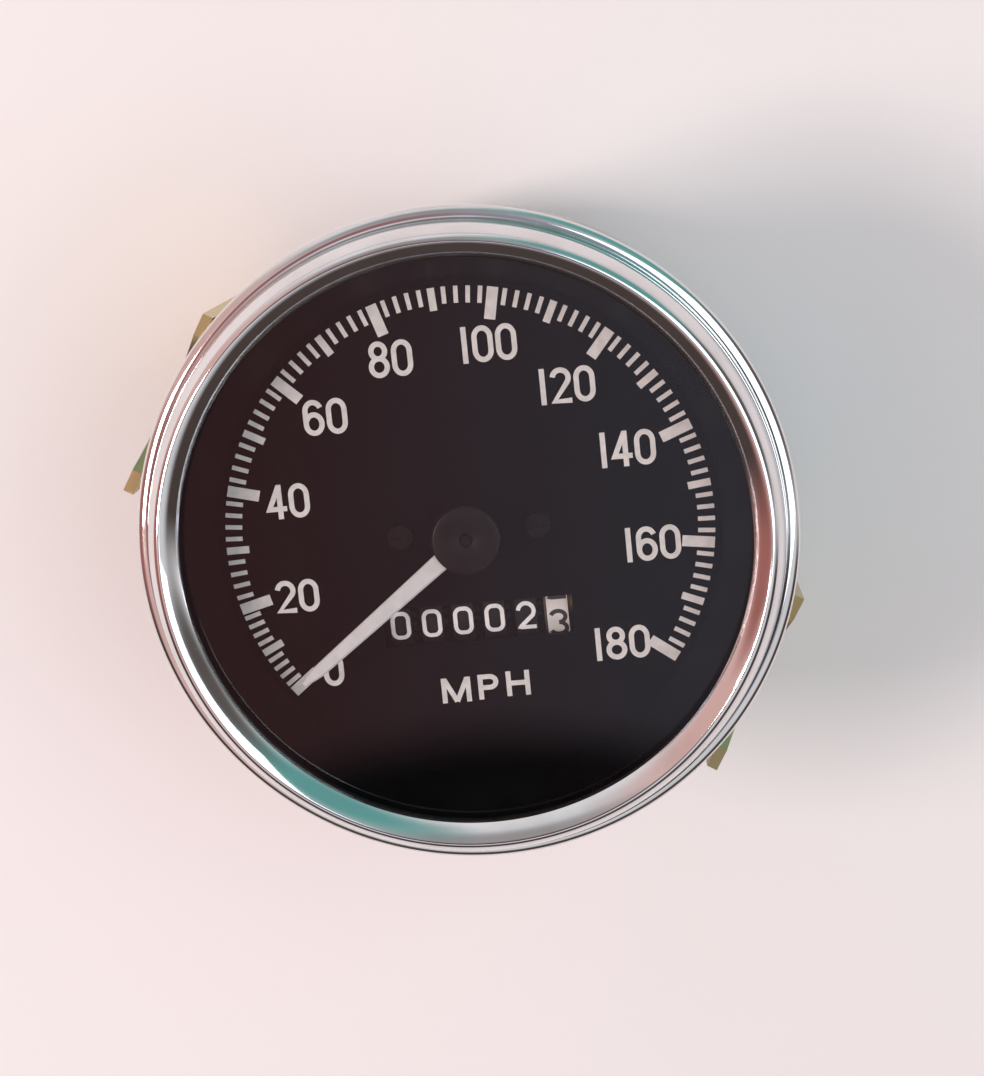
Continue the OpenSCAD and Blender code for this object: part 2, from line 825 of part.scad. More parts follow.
module side_plate(x, foot_x) {
    color(steel) difference() {
        union() {
            translate([x, 0, 0]) rotate([90, 0, 90]) linear_extrude(plate_t) plate_outline();
            translate([foot_x, drum_y - plate_half, base_top]) cube([foot_len, 2 * plate_half, plate_t]);
            children();
        }
        along_x(drum_y, drum_z) bar(axle_r, x - cut, x + plate_t + cut);
        along_x(transfer_y, drum_z) bar(transfer_axle_r, x - cut, x + plate_t + cut);
        at_plate_screws() bar(foot_screw_r, base_top - cut, base_top + plate_t + cut);
    }
}

module left_plate() {
    side_plate(left_in_x - plate_t, left_in_x - foot_len);
}

module right_plate() {
    lug_x = riser_x - lug_half;
    difference() {
        side_plate(right_in_x, right_in_x + plate_t - foot_len)
            translate([lug_x, drum_y - plate_half, riser_lug_top - plate_t])
            cube([right_in_x - lug_x, 2 * plate_half, plate_t]);
        translate([riser_x, drum_y, 0]) bar(riser_r + run_fit, base_z, riser_lug_top + cut);
    }
}

module cross_shaft() {
    color(steel) along_y(cross_x, cross_z)
        bar(cross_shaft_r, lug_far_y - lug_t / 2 - shaft_end, lug_near_y + lug_t / 2 + shaft_end);
}

module cross_wheel() {
    color(brass) along_y(cross_x, cross_z) worm_wheel(cross_teeth, cross_shaft_r);
}

module cross_worm() {
    color(steel) along_y(cross_x, cross_z) translate([0, 0, drum_y]) worm(cross_shaft_r);
}

module riser_shaft() {
    color(steel) translate([riser_x, drum_y, 0]) {
        bar(riser_r, base_z + shaft_end + end_gap, riser_top - riser_pinion_h);
        translate([0, 0, riser_top - riser_pinion_h]) linear_extrude(riser_pinion_h)
            polygon(wheel_points(riser_pinion_teeth, riser_pinion_root, riser_pinion_tip,
                riser_foot, riser_tip));
    }
}

module riser_wheel() {
    color(brass) translate([riser_x, drum_y, cross_z]) worm_wheel(riser_teeth, riser_r);
}

module crown_gear() {
    step = 360 / crown_teeth;
    in_r = crown_r - crown_tooth_w / 2;
    out_r = crown_r + crown_tooth_w / 2;
    tooth_out_r = out_r - crown_tooth_step;
    half = step * crown_half;
    color(brass) along_x(drum_y, drum_z) difference() {
        union() {
            bar(crown_hub_r, stack_right, crown_root_x);
            bar(out_r, crown_root_x - crown_t, crown_root_x);
            for (i = [0:crown_teeth - 1]) rotate([0, 0, (i + 0.5) * step])
                translate([0, 0, crown_root_x - crown_t / 2])
                linear_extrude(crown_tip_x - crown_root_x + crown_t / 2)
                polygon([[in_r, -in_r * sin(half)], [tooth_out_r, -out_r * sin(half)],
                    [tooth_out_r, out_r * sin(half)], [in_r, in_r * sin(half)]]);
        }
        bar(axle_r + run_fit, stack_right - cut, crown_tip_x + cut);
    }
}

module drum_axle() {
    color(steel) along_x(drum_y, drum_z) bar(axle_r, left_in_x - plate_t, right_in_x + plate_t);
}

module axle_spacers() {
    color(brass) along_x(drum_y, drum_z) {
        tube(axle_r + spacer_wall, axle_r, left_in_x, stack_left - end_gap);
        tube(axle_r + spacer_wall, axle_r, crown_tip_x + end_gap, right_in_x);
    }
}

// One number drum: band, driven gear on its right and driver with a notch on its left
module drum(place, colour) {
    color(colour) along_x(drum_y, drum_z) translate([0, 0, drum_x(place)]) difference() {
        union() {
            bar(drum_r, -band_half, band_half);
            if (place > 0) translate([0, 0, band_half]) linear_extrude(drum_gear_w)
                polygon(wheel_points(drum_teeth, transfer_module * (drum_teeth / 2 - tooth_in),
                    transfer_module * (drum_teeth / 2 + tooth_out), drum_foot, drum_tip));
            if (place < drum_count - 1) bar(driver_r, -band_half - driver_w, -band_half);
        }
        bar(axle_r + run_fit, -drum_pitch, drum_pitch);
        if (place < drum_count - 1)
            translate([driver_r - driver_notch_h, -driver_notch_w / 2, -band_half - 2 * driver_w])
                cube([2 * driver_notch_h, driver_notch_w, 2 * driver_w]);
        if (place == drum_count - 1)
            tube(drum_r - drum_rim_t, drum_web_r, -drum_pitch, drum_recess - band_half);
    }
}

module drum_tenths() {
    drum(0, white);
}

module drum_units() {
    drum(1, black);
}

module drum_tens() {
    drum(2, black);
}

module drum_hundreds() {
    drum(3, black);
}

module drum_thousands() {
    drum(4, black);
}

module drum_ten_thousands() {
    drum(5, black);
}

module transfer_axle() {
    color(steel) along_x(transfer_y, drum_z)
        bar(transfer_axle_r, left_in_x - plate_t, right_in_x + plate_t);
}

// The pinion that carries from one drum to the next drum on its left
module transfer_pinion(place) {
    mid = drum_x(place) - drum_pitch / 2;
    color(brass) along_x(transfer_y, drum_z) difference() {
        translate([0, 0, mid - pinion_w / 2]) rotate([0, 0, 180 / transfer_teeth]) linear_extrude(pinion_w)
            polygon(wheel_points(transfer_teeth, transfer_module * (transfer_teeth / 2 - tooth_in),
                transfer_tip_r, transfer_foot, transfer_tip));
        bar(transfer_axle_r + run_fit, mid - pinion_w, mid + pinion_w);
    }
}

module case() {
    in_corner = case_corner - case_t;
    outline = concat(
        [[0, back_z]],
        arc(barrel_r - case_corner, back_z + case_corner, case_corner, case_corner, -90, 0),
        arc(barrel_r + case_bend, case_flange_z - case_bend, case_bend, case_bend, 180, 90),
        [[case_flange_r, case_flange_z], [case_flange_r, mask_flange_z], [barrel_in_r, mask_flange_z]],
        arc(barrel_r - case_corner, back_z + case_corner, in_corner, in_corner, 0, -90),
        [[0, base_z]]);
    color(blackened) difference() {
        rotate_extrude() polygon(outline);
        bar(spigot_r, back_z - cut, base_z + cut);
        at_angles(bulb_r, holder_angles) bar(holder_r, back_z - cut, base_z + cut);
        at_angles(fix_r, fix_angles) bar(fix_screw_r + slip, back_z - cut, base_z + cut);
        at_studs() bar(stud_r, back_z - cut, base_z + cut);
    }
}

module case_screws() {
    color(steel) at_angles(fix_r, fix_angles) translate([0, 0, back_z]) mirror([0, 0, 1])
        slotted_screw(fix_head_r, fix_head_h, fix_screw_r, case_t + fix_depth);
}

module bulb_holders() {
    color(steel) at_angles(bulb_r, holder_angles) {
        bar(holder_r, back_z, base_z + holder_inside);
        bar(holder_r + holder_flange_w, back_z - holder_flange_t, back_z);
        bar(holder_tail_r, back_z - holder_tail, back_z - holder_flange_t);
    }
}

module bulbs() {
    bulb_z = base_z + holder_inside;
    color("ivory") at_angles(bulb_r, holder_angles) {
        bar(bulb_glass_r, bulb_z, bulb_z + bulb_len - bulb_glass_r);
        translate([0, 0, bulb_z + bulb_len - bulb_glass_r]) sphere(r = bulb_glass_r);
    }
}

module studs() {
    color(steel) at_studs() {
        bar(stud_head_r, base_z, base_z + stud_head_t);
        bar(stud_r, stud_end, base_z);
        bar(shoulder_r, strap_front, back_z);
    }
}

module clamp_bracket() {
    in_x = strap_end_x - strap_t;
    in_bend = strap_bend - strap_t;
    function bend(side, r, from, to) =
        arc(side * (strap_leg_x - strap_bend), strap_z + strap_bend, r, r, from, to);
    outline = concat(
        bend(-1, strap_bend, 180, 270), bend(1, strap_bend, 270, 360),
        [[strap_end_x, -panel_gap], [in_x, -panel_gap]],
        bend(1, in_bend, 360, 270), bend(-1, in_bend, 270, 180),
        [[-in_x, -panel_gap], [-strap_end_x, -panel_gap]]);
    color(zinc_yellow) on_strap() difference() {
        translate([0, strap_w / 2, 0]) rotate([90, 0, 0]) linear_extrude(strap_w) polygon(outline);
        translate([0, -strap_offset, 0]) bar(boss_r + strap_boss_room, strap_z - cut, strap_front + cut);
        along_x(0, arch_z) bar(arch_r, -strap_end_x - cut, strap_end_x + cut);
        for (x = stud_places) translate([x, 0, 0])
            bar(stud_r + stud_room, strap_z - cut, strap_front + cut);
    }
}

module spring_washers() {
    hole_r = stud_r + stud_room;
    color(steel) at_studs() tube(hole_r + washer_w, hole_r, nut_top, strap_z);
}

// A knurled nut, chamfered at both ends
module clamp_nut(x) {
    outline = [[stud_r + run_fit, nut_z], [nut_r - nut_chamfer, nut_z], [nut_r, nut_z + nut_chamfer],
        [nut_r, nut_top - nut_chamfer], [nut_r - nut_chamfer, nut_top], [stud_r + run_fit, nut_top]];
    color(brass) on_strap() translate([x, 0, 0]) rotate_extrude() polygon(outline);
}

module clamp_nut_1() {
    clamp_nut(stud_places[0]);
}

module clamp_nut_2() {
    clamp_nut(stud_places[1]);
}

bezel();
glass();
glass_seal();
mask_ring();
dial_plate();
dial_screws();
pointer_blade();
pointer_hub();
pointer_spindle();
hairspring_collet();
hairspring();
cup_collet();
drag_cup();
magnet();
field_cup();
main_spindle();
drive_worm();
spindle_collar();
thrust_washer();
main_bush();
drive_boss();
movement_base();
bridge_posts();
top_bridge();
frame_screws();
dial_pillars();
spindle_bush();
regulator_lever();
left_plate();
right_plate();
cross_shaft();
cross_wheel();
cross_worm();
riser_shaft();
riser_wheel();
crown_gear();
drum_axle();
axle_spacers();
drum_tenths();
drum_units();
drum_tens();
drum_hundreds();
drum_thousands();
drum_ten_thousands();
transfer_axle();
transfer_pinion(0);  // transfer_pinion_1
transfer_pinion(1);  // transfer_pinion_2
transfer_pinion(2);  // transfer_pinion_3
transfer_pinion(3);  // transfer_pinion_4
transfer_pinion(4);  // transfer_pinion_5
case();
case_screws();
bulb_holders();
bulbs();
studs();
clamp_bracket();
spring_washers();
clamp_nut_1();
clamp_nut_2();
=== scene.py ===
"""Looks of a round motoring speedometer: plated rim, black dial, white print and plated back."""
import math

import bmesh
import bpy
from mathutils import Matrix, Vector


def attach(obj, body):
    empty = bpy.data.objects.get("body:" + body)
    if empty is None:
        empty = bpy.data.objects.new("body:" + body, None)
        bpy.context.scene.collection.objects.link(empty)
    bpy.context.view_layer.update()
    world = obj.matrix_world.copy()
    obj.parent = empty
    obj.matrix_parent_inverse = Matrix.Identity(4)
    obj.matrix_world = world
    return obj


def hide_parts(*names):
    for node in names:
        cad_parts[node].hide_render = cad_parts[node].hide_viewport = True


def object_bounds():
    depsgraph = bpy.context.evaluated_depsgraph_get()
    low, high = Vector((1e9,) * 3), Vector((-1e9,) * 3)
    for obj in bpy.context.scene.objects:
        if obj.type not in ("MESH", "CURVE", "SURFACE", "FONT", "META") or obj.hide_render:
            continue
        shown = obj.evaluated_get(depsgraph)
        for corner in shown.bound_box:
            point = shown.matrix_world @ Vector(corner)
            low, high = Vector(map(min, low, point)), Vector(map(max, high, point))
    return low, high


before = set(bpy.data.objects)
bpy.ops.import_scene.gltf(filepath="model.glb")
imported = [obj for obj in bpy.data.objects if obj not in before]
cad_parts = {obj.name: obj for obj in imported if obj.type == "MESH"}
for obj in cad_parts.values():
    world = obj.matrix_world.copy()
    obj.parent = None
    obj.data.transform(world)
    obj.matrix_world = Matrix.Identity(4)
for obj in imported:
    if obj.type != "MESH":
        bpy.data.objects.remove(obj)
cad_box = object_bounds()

MM = 0.001
BODY = "instrument"

# Scale: directions in degrees from +x, radii and sizes in millimetres
SCALE_ZERO = 217.8
FIRST_SPAN = 23.45
SPAN = 28.9
MARK_RADIUS = 31.85
DIAL_FACE = -4.0

# Print: its thickness, the levels that crossing strokes lie on, the shapes of numbers and letters,
# and the room that a plain 1 gives up
PRINT_LIFT = 0.04
STROKE_STEP = 0.005
STROKE_LEVELS = 4
NUMBER_WIDTH = 2.72
NUMBER_PEN = 0.68
NUMBER_GAP = 0.32
NUMBER_CORNER = (1.02, 1.2)
BAR_SAVING = 1.4
LETTER_HEIGHT = 3.35
LETTER_PEN = 0.65

# Points closer than this are one point
TINY = 1e-6

# Pointer: rest direction in degrees, and the levels of its blade in millimetres
REST_ANGLE = 217.0
BLADE_UNDER = 1.4
BLADE_TOP = 2.0

# Counter drums: y and z of their axle, radius, spacing and turn per digit
DRUM_AXIS = (-12.2, -13.3)
DRUM_RADIUS = 8.0
DRUM_PITCH = 4.14
DIGIT_TURN = math.radians(36)

# Digits: size, pen and corner, their longest straight stretch once bent round a drum,
# and the part of a digit by which the tenths drum stands short of its 3
DIGIT_WIDTH = 2.6
DIGIT_HEIGHT = 3.75
DIGIT_PEN = 0.54
DIGIT_CORNER = (0.8, 0.85)
DIGIT_BEND = 0.35
TENTHS_LAG = 1.38 / 5.03

# Back: places of the clamp nuts, and radius and directions of the lamp holders
NUT_PLACES = ((-27.4735, 14.4661), (25.6709, -17.4662))
HOLDER_RADIUS = 28.0
HOLDER_ANGLES = (85, 265)


class Wire:
    """One node socket. Sums written with it become maths nodes."""

    def __init__(self, board, socket):
        self.board = board
        self.socket = socket

    def maths(self, operation, first, second=0.0):
        return self.board.node("ShaderNodeMath", {"operation": operation}, {0: first, 1: second})

    def __add__(self, other):
        return self.maths("ADD", self, other)

    def __sub__(self, other):
        return self.maths("SUBTRACT", self, other)

    def __rsub__(self, other):
        return self.maths("SUBTRACT", other, self)

    def __mul__(self, other):
        return self.maths("MULTIPLY", self, other)

    def __truediv__(self, other):
        return self.maths("DIVIDE", self, other)

    def __rtruediv__(self, other):
        return self.maths("DIVIDE", other, self)

    def __mod__(self, other):
        return self.maths("MODULO", self, other)

    def __pow__(self, other):
        return self.maths("POWER", self, other)

    def __lt__(self, other):
        return self.maths("LESS_THAN", self, other)

    __radd__ = __add__
    __rmul__ = __mul__

    def least(self, other):
        return self.maths("MINIMUM", self, other)

    def most(self, other):
        return self.maths("MAXIMUM", self, other)

    def ramp(self, low, high, start=0.0, end=1.0):
        """This value taken smoothly from low..high to start..end."""
        return self.board.node(
            "ShaderNodeMapRange",
            {"interpolation_type": "SMOOTHSTEP"},
            {"Value": self, "From Min": low, "From Max": high, "To Min": start, "To Max": end},
        )

    def tint(self, low, high):
        """A colour between low and high, by this value from 0 to 1."""
        return self.board.node("ShaderNodeMix", {"data_type": "RGBA"}, {0: self, 6: low, 7: high}, 2)


class Board:
    """A node tree under construction."""

    def __init__(self, tree):
        self.tree = tree
        tree.nodes.clear()

    def node(self, kind, settings=None, sockets=None, output=0):
        made = self.tree.nodes.new(kind)
        for name, value in (settings or {}).items():
            setattr(made, name, value)
        for name, value in (sockets or {}).items():
            if isinstance(value, Wire):
                self.tree.links.new(value.socket, made.inputs[name])
            else:
                made.inputs[name].default_value = value
        return Wire(self, made.outputs[output]) if made.outputs else made


class Finish(Board):
    """One material, with the patterns that its colour and gloss come from."""

    def __init__(self, name):
        self.material = bpy.data.materials.new(name)
        self.material.use_nodes = True
        super().__init__(self.material.node_tree)
        self.place = self.node("ShaderNodeTexCoord", output="Object")

    def grain(self, size, detail=3.0, stretch=(1.0, 1.0, 1.0)):
        """Soft noise with marks about size millimetres across."""
        place = self.node("ShaderNodeMapping", {}, {"Vector": self.place, "Scale": stretch})
        return self.node(
            "ShaderNodeTexNoise",
            {},
            {"Vector": place, "Scale": 1 / (size * MM), "Detail": detail, "Roughness": 0.55},
        )

    def specks(self, size):
        """Distance to the nearest of scattered points about size millimetres apart."""
        return self.node("ShaderNodeTexVoronoi", {}, {"Vector": self.place, "Scale": 1 / (size * MM)})

    def relief(self, height, depth):
        """A bump normal from a height of 0 to 1, depth millimetres deep."""
        return self.node("ShaderNodeBump", {}, {"Strength": 1.0, "Distance": depth * MM, "Height": height})

    def show(self, surface):
        self.node("ShaderNodeOutputMaterial", {}, {"Surface": surface})
        return self.material

    def done(self, **sockets):
        named = {}
        for name, value in sockets.items():
            named[name.replace("_", " ").title().replace("Ior", "IOR")] = value
        return self.show(self.node("ShaderNodeBsdfPrincipled", {}, named))


def colour(red, green, blue):
    return (red, green, blue, 1.0)


def metal(name, bright, dull, size, rough, spread, relief=0.002):
    """A bare or plated metal: two tones in patches, uneven gloss and fine tool marks."""
    finish = Finish(name)
    patches = finish.grain(size, 5.0).ramp(0.3, 0.7)
    fine = finish.grain(0.12, 2.0)
    return finish.done(
        base_color=patches.tint(dull, bright),
        metallic=1.0,
        roughness=patches * -spread + fine * 0.08 + (rough + spread),
        normal=finish.relief(fine, relief),
    )


def paint(name, light, dark, size, rough, relief=0.004, gloss=0.5):
    """A painted, printed or moulded face: slightly clouded colour over a fine tooth."""
    finish = Finish(name)
    clouds = finish.grain(size, 4.0).ramp(0.3, 0.7)
    tooth = finish.grain(0.09, 2.0)
    return finish.done(
        base_color=clouds.tint(dark, light),
        roughness=clouds * 0.1 + rough,
        specular_ior_level=gloss,
        normal=finish.relief(tooth, relief),
    )


def rim_plating():
    """Bright plating: mirror gloss, a faint haze and hairline wiping marks."""
    finish = Finish("rim_plating")
    haze = finish.grain(9.0, 4.0).ramp(0.35, 0.75)
    wiped = finish.grain(0.5, 3.0, (1.0, 0.08, 1.0)).ramp(0.45, 0.8)
    pits = finish.specks(1.6).ramp(0.02, 0.07, 1.0, 0.0)
    return finish.done(
        base_color=(haze * 0.5 + pits * 0.5).tint(colour(0.80, 0.80, 0.81), colour(0.62, 0.61, 0.60)),
        metallic=1.0,
        roughness=haze * 0.05 + wiped * 0.05 + pits * 0.2 + 0.04,
        normal=finish.relief(wiped * 0.5 + pits * -0.5, 0.0008),
    )


def window_glass(name, clear):
    """Clear glass that mirrors more at a slant, with a trace of dust."""
    finish = Finish(name)
    facing = finish.node("ShaderNodeLayerWeight", {}, {"Blend": 0.5}, "Facing")
    dust = finish.grain(0.8, 4.0).ramp(0.55, 0.9)
    through = finish.node("ShaderNodeBsdfTransparent", {}, {"Color": clear})
    shine = finish.node("ShaderNodeBsdfGlossy", {}, {"Color": colour(1.0, 1.0, 1.0), "Roughness": 0.02})
    straight_on, at_a_slant = 0.038, 0.85
    share = facing ** 5.0 * at_a_slant + dust * 0.01 + straight_on
    return finish.show(finish.node("ShaderNodeMixShader", {}, {0: share, 1: through, 2: shine}))


def yellow_plating():
    """Passivated zinc: gold with drifting green and rose tones, duller in patches."""
    finish = Finish("yellow_plating")
    drift = finish.grain(13.0, 2.0).ramp(0.2, 0.8)
    rose = finish.grain(9.0, 2.0).ramp(0.4, 0.8)
    worn = finish.grain(1.2, 5.0).ramp(0.6, 0.8)
    base = drift.tint(colour(0.58, 0.47, 0.19), colour(0.61, 0.53, 0.27))
    base = (rose * 0.2).tint(base, colour(0.60, 0.38, 0.26))
    return finish.done(
        base_color=(worn * 0.4).tint(base, colour(0.60, 0.58, 0.52)),
        metallic=1.0,
        roughness=drift * 0.06 + worn * 0.12 + 0.27,
        normal=finish.relief(finish.grain(0.2, 3.0), 0.003),
    )


def case_plating():
    """Dull zinc plate on pressed steel: cloudy, lightly scuffed, with dark specks."""
    finish = Finish("case_plating")
    clouds = finish.grain(10.0, 5.0).ramp(0.3, 0.7)
    scuffs = finish.grain(1.5, 4.0, (1.0, 1.0, 0.12)).ramp(0.55, 0.8)
    specks = finish.specks(2.3).ramp(0.03, 0.1, 1.0, 0.0)
    base = clouds.tint(colour(0.47, 0.47, 0.46), colour(0.57, 0.57, 0.56))
    base = (scuffs * 0.4).tint(base, colour(0.68, 0.68, 0.68))
    return finish.done(
        base_color=(specks * 0.7).tint(base, colour(0.20, 0.17, 0.14)),
        metallic=1.0,
        roughness=clouds * -0.06 + scuffs * -0.08 + specks * 0.2 + 0.44,
        normal=finish.relief(finish.grain(0.3, 4.0) * 0.7 + specks * -0.3, 0.006),
    )


def dial_black():
    """Satin black lacquer on sheet metal, a little greyer where it has been wiped."""
    finish = Finish("dial_black")
    wiped = finish.grain(12.0, 4.0).ramp(0.35, 0.75)
    tooth = finish.grain(0.07, 2.0)
    dust = finish.specks(2.8).ramp(0.01, 0.03, 1.0, 0.0)
    base = wiped.tint(colour(0.0014, 0.0013, 0.0017), colour(0.0026, 0.0022, 0.0026))
    return finish.done(
        base_color=(dust * 0.2).tint(base, colour(0.30, 0.28, 0.26)),
        roughness=wiped * 0.08 + 0.52,
        specular_ior_level=0.03,
        normal=finish.relief(tooth, 0.004),
    )


def table_top():
    """Pale plain table; open from below, so that the underside can be seen."""
    finish = Finish("table_top")
    cloud = finish.grain(90.0, 3.0)
    speck = finish.grain(0.9, 3.0)
    face = finish.node(
        "ShaderNodeBsdfPrincipled",
        {},
        {
            "Base Color": cloud.tint(colour(0.91, 0.89, 0.89), colour(0.94, 0.92, 0.92)),
            "Roughness": speck * 0.1 + 0.62,
            "Specular IOR Level": 0.25,
            "Normal": finish.relief(speck, 0.02),
        },
    )
    below = finish.node("ShaderNodeNewGeometry", output="Backfacing")
    clear = finish.node("ShaderNodeBsdfTransparent")
    return finish.show(finish.node("ShaderNodeMixShader", {}, {0: below, 1: face, 2: clear}))


def piece(name, verts, faces, finish, body, turn_out=False):
    """A finished mesh from points in millimetres, riding on a body."""
    mesh = bpy.data.meshes.new(name)
    mesh.from_pydata([Vector(v) * MM for v in verts], [], faces)
    if turn_out:
        shape = bmesh.new()
        shape.from_mesh(mesh)
        bmesh.ops.recalc_face_normals(shape, faces=shape.faces)
        shape.to_mesh(mesh)
        shape.free()
    mesh.update()
    made = bpy.data.objects.new(name, mesh)
    bpy.context.scene.collection.objects.link(made)
    mesh.materials.append(finish)
    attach(made, body)
    return made


def smooth(made, sharp=32):
    """Round shading, with edges kept where the faces turn by more than sharp degrees."""
    made.data.shade_smooth()
    made.data.set_sharp_from_angle(angle=math.radians(sharp))
    return made


def arc(x, y, rx, ry, start, end, steps=16):
    """Points on part of an ellipse, in degrees."""
    turns = [math.radians(start + (end - start) * i / steps) for i in range(steps + 1)]
    return [(x + rx * math.cos(a), y + ry * math.sin(a)) for a in turns]


def turned(name, outline, finish, body, centre=(0.0, 0.0), steps=160, cutter=None):
    """A closed outline of (radius, height) points spun about an upright axis."""
    verts, rings = [], []
    for r, z in outline:
        circle = []
        for i in range(steps):
            a = 2 * math.pi * i / steps
            reach = cutter(r, z, a) if cutter else r
            circle.append(len(verts))
            verts.append((centre[0] + reach * math.cos(a), centre[1] + reach * math.sin(a), z))
            if r == 0:
                break
        rings.append(circle)
    faces = []
    for one, two in zip(rings, rings[1:] + rings[:1]):
        if len(one) == len(two) == 1:
            continue
        for i in range(steps):
            k = (i + 1) % steps
            corners = [one[i % len(one)], one[k % len(one)], two[k % len(two)], two[i % len(two)]]
            faces.append(tuple(dict.fromkeys(corners)))
    return smooth(piece(name, verts, faces, finish, body, turn_out=True))


def soften(path, step):
    """A path with no stretch longer than step."""
    points = [path[0]]
    for a, b in zip(path, path[1:]):
        count = max(1, math.ceil(math.dist(a, b) / step))
        way = (b[0] - a[0], b[1] - a[1])
        points += [(a[0] + way[0] * i / count, a[1] + way[1] * i / count) for i in range(1, count + 1)]
    return points


def stroke(path, closed, width):
    """Left and right edge points of a pen stroke along a path."""
    count = len(path)
    sharpest = 0.3
    edges = []
    for i, (x, y) in enumerate(path):
        before = path[i - 1] if i or closed else None
        after = path[(i + 1) % count] if i + 1 < count or closed else None
        ways = []
        for a, b in ((before, (x, y)), ((x, y), after)):
            if a and b and math.dist(a, b) > TINY:
                ways.append(((b[0] - a[0]) / math.dist(a, b), (b[1] - a[1]) / math.dist(a, b)))
        sides = [(-w[1], w[0]) for w in ways]
        nx = sum(s[0] for s in sides) / len(sides)
        ny = sum(s[1] for s in sides) / len(sides)
        size = max(nx * nx + ny * ny, sharpest)
        off = (nx / size * width / 2, ny / size * width / 2)
        edges.append(((x + off[0], y + off[1]), (x - off[0], y - off[1])))
    return edges


def inked(strokes, width, put, verts, faces):
    """Adds thin raised strokes to a mesh; put takes a flat point and a height to its place."""
    for number, (path, closed) in enumerate(strokes):
        edges = stroke(path, closed, width)
        first = len(verts)
        for left, right in edges:
            for lift in (0.0, PRINT_LIFT + STROKE_STEP * (number % STROKE_LEVELS)):
                verts.append(put(left[0], left[1], lift))
                verts.append(put(right[0], right[1], lift))
        count = len(edges)
        for i in range(count if closed else count - 1):
            a = first + 4 * i
            b = first + 4 * ((i + 1) % count)
            faces.append((a + 2, a + 3, b + 3, b + 2))
            faces.append((a + 1, a, b, b + 1))
            faces.append((a, a + 2, b + 2, b))
            faces.append((a + 3, a + 1, b + 1, b + 3))
        if not closed:
            last = first + 4 * (count - 1)
            faces.append((first, first + 1, first + 3, first + 2))
            faces.append((last + 1, last, last + 2, last + 3))


def ring(w, h, low, corner):
    """A closed upright ring between two heights, with corners of the given size."""
    rx, ry = corner
    path = arc(w - rx, h - ry, rx, ry, 0, 90) + arc(rx, h - ry, rx, ry, 90, 180)
    path += arc(rx, low + ry, rx, ry, 180, 270) + arc(w - rx, low + ry, rx, ry, 270, 360)
    return [p for i, p in enumerate(path) if math.dist(p, path[i - 1]) > TINY]


def character(mark, w, h, end, corner):
    """Centre lines of one character, w wide and h tall; straight ends run past them by end."""
    r = w / 2
    low, high = -end, h + end
    if mark == "0":
        return [(ring(w, h, 0, corner), True)]
    if mark == "1":
        return [([(r, low), (r, high)], False)]
    if mark == "2":
        return [(arc(r, h - r, r, r, 172, -35) + [(0.03 * w, 0), (w + 0.8 * end, 0)], False)]
    if mark == "3":
        upper = arc(r, 0.76 * h, r * 0.94, 0.24 * h, 160, -85)
        return [(upper, False), (arc(r, 0.26 * h, r, 0.26 * h, 85, -160), False)]
    if mark == "4":
        stem = [(0.74 * w, low), (0.74 * w, high)]
        return [(stem, False), ([(0.7 * w, h), (0.04 * w, 0.26 * h), (w + end, 0.26 * h)], False)]
    if mark == "5":
        neck = [(0.95 * w, h), (0.12 * w, h), (0.05 * w, 0.53 * h)]
        return [(neck + arc(r, 0.31 * h, r, 0.31 * h, 128, -160), False)]
    if mark == "6":
        stem = [(0, 0.3 * h)] + arc(r, h - 1.1 * r, r, 1.1 * r, 180, 20)
        return [(ring(w, 0.6 * h, 0, (r, 0.3 * h)), True), (stem, False)]
    if mark == "7":
        return [([(-0.6 * end, h), (w, h), (0.3 * w, low)], False)]
    if mark == "8":
        upper = [(x * 0.86 + 0.07 * w, y) for x, y in ring(w, h, 0.53 * h, (r, 0.235 * h))]
        return [(upper, True), (ring(w, 0.53 * h, 0, (r, 0.265 * h)), True)]
    if mark == "9":
        six = character("6", w, h, end, corner)
        return [([(w - x, h - y) for x, y in path], closed) for path, closed in six]
    stems = [([(0, low), (0, high)], False)]
    if mark == "P":
        bowl = [(0, h), (0.55 * w, h)] + arc(0.6 * w, 0.73 * h, 0.4 * w, 0.27 * h, 90, -90)
        return stems + [(bowl + [(0, 0.46 * h)], False)]
    stems.append(([(w, low), (w, high)], False))
    if mark == "M":
        foot, top = low + 0.4 * end, high - 0.4 * end
        return stems + [([(0.03 * w, top), (r, foot)], False), ([(0.97 * w, top), (r, foot)], False)]
    return stems + [([(0, 0.52 * h), (w, 0.52 * h)], False)]


def word(marks, centre, width, height, pen, gap, corner, slim=0.0):
    """Strokes of a row of characters about a centre; slim is the room that a plain bar gives up."""
    line_w, line_h = width - pen, height - pen
    wide = [line_w - slim if m == "1" else line_w for m in marks]
    x = centre[0] - (sum(wide) + (pen + gap) * (len(marks) - 1)) / 2
    y = centre[1] - line_h / 2
    strokes = []
    for mark, room in zip(marks, wide):
        for path, closed in character(mark, room, line_h, pen / 2, corner):
            strokes.append(([(x + px, y + py) for px, py in path], closed))
        x += room + pen + gap
    return strokes


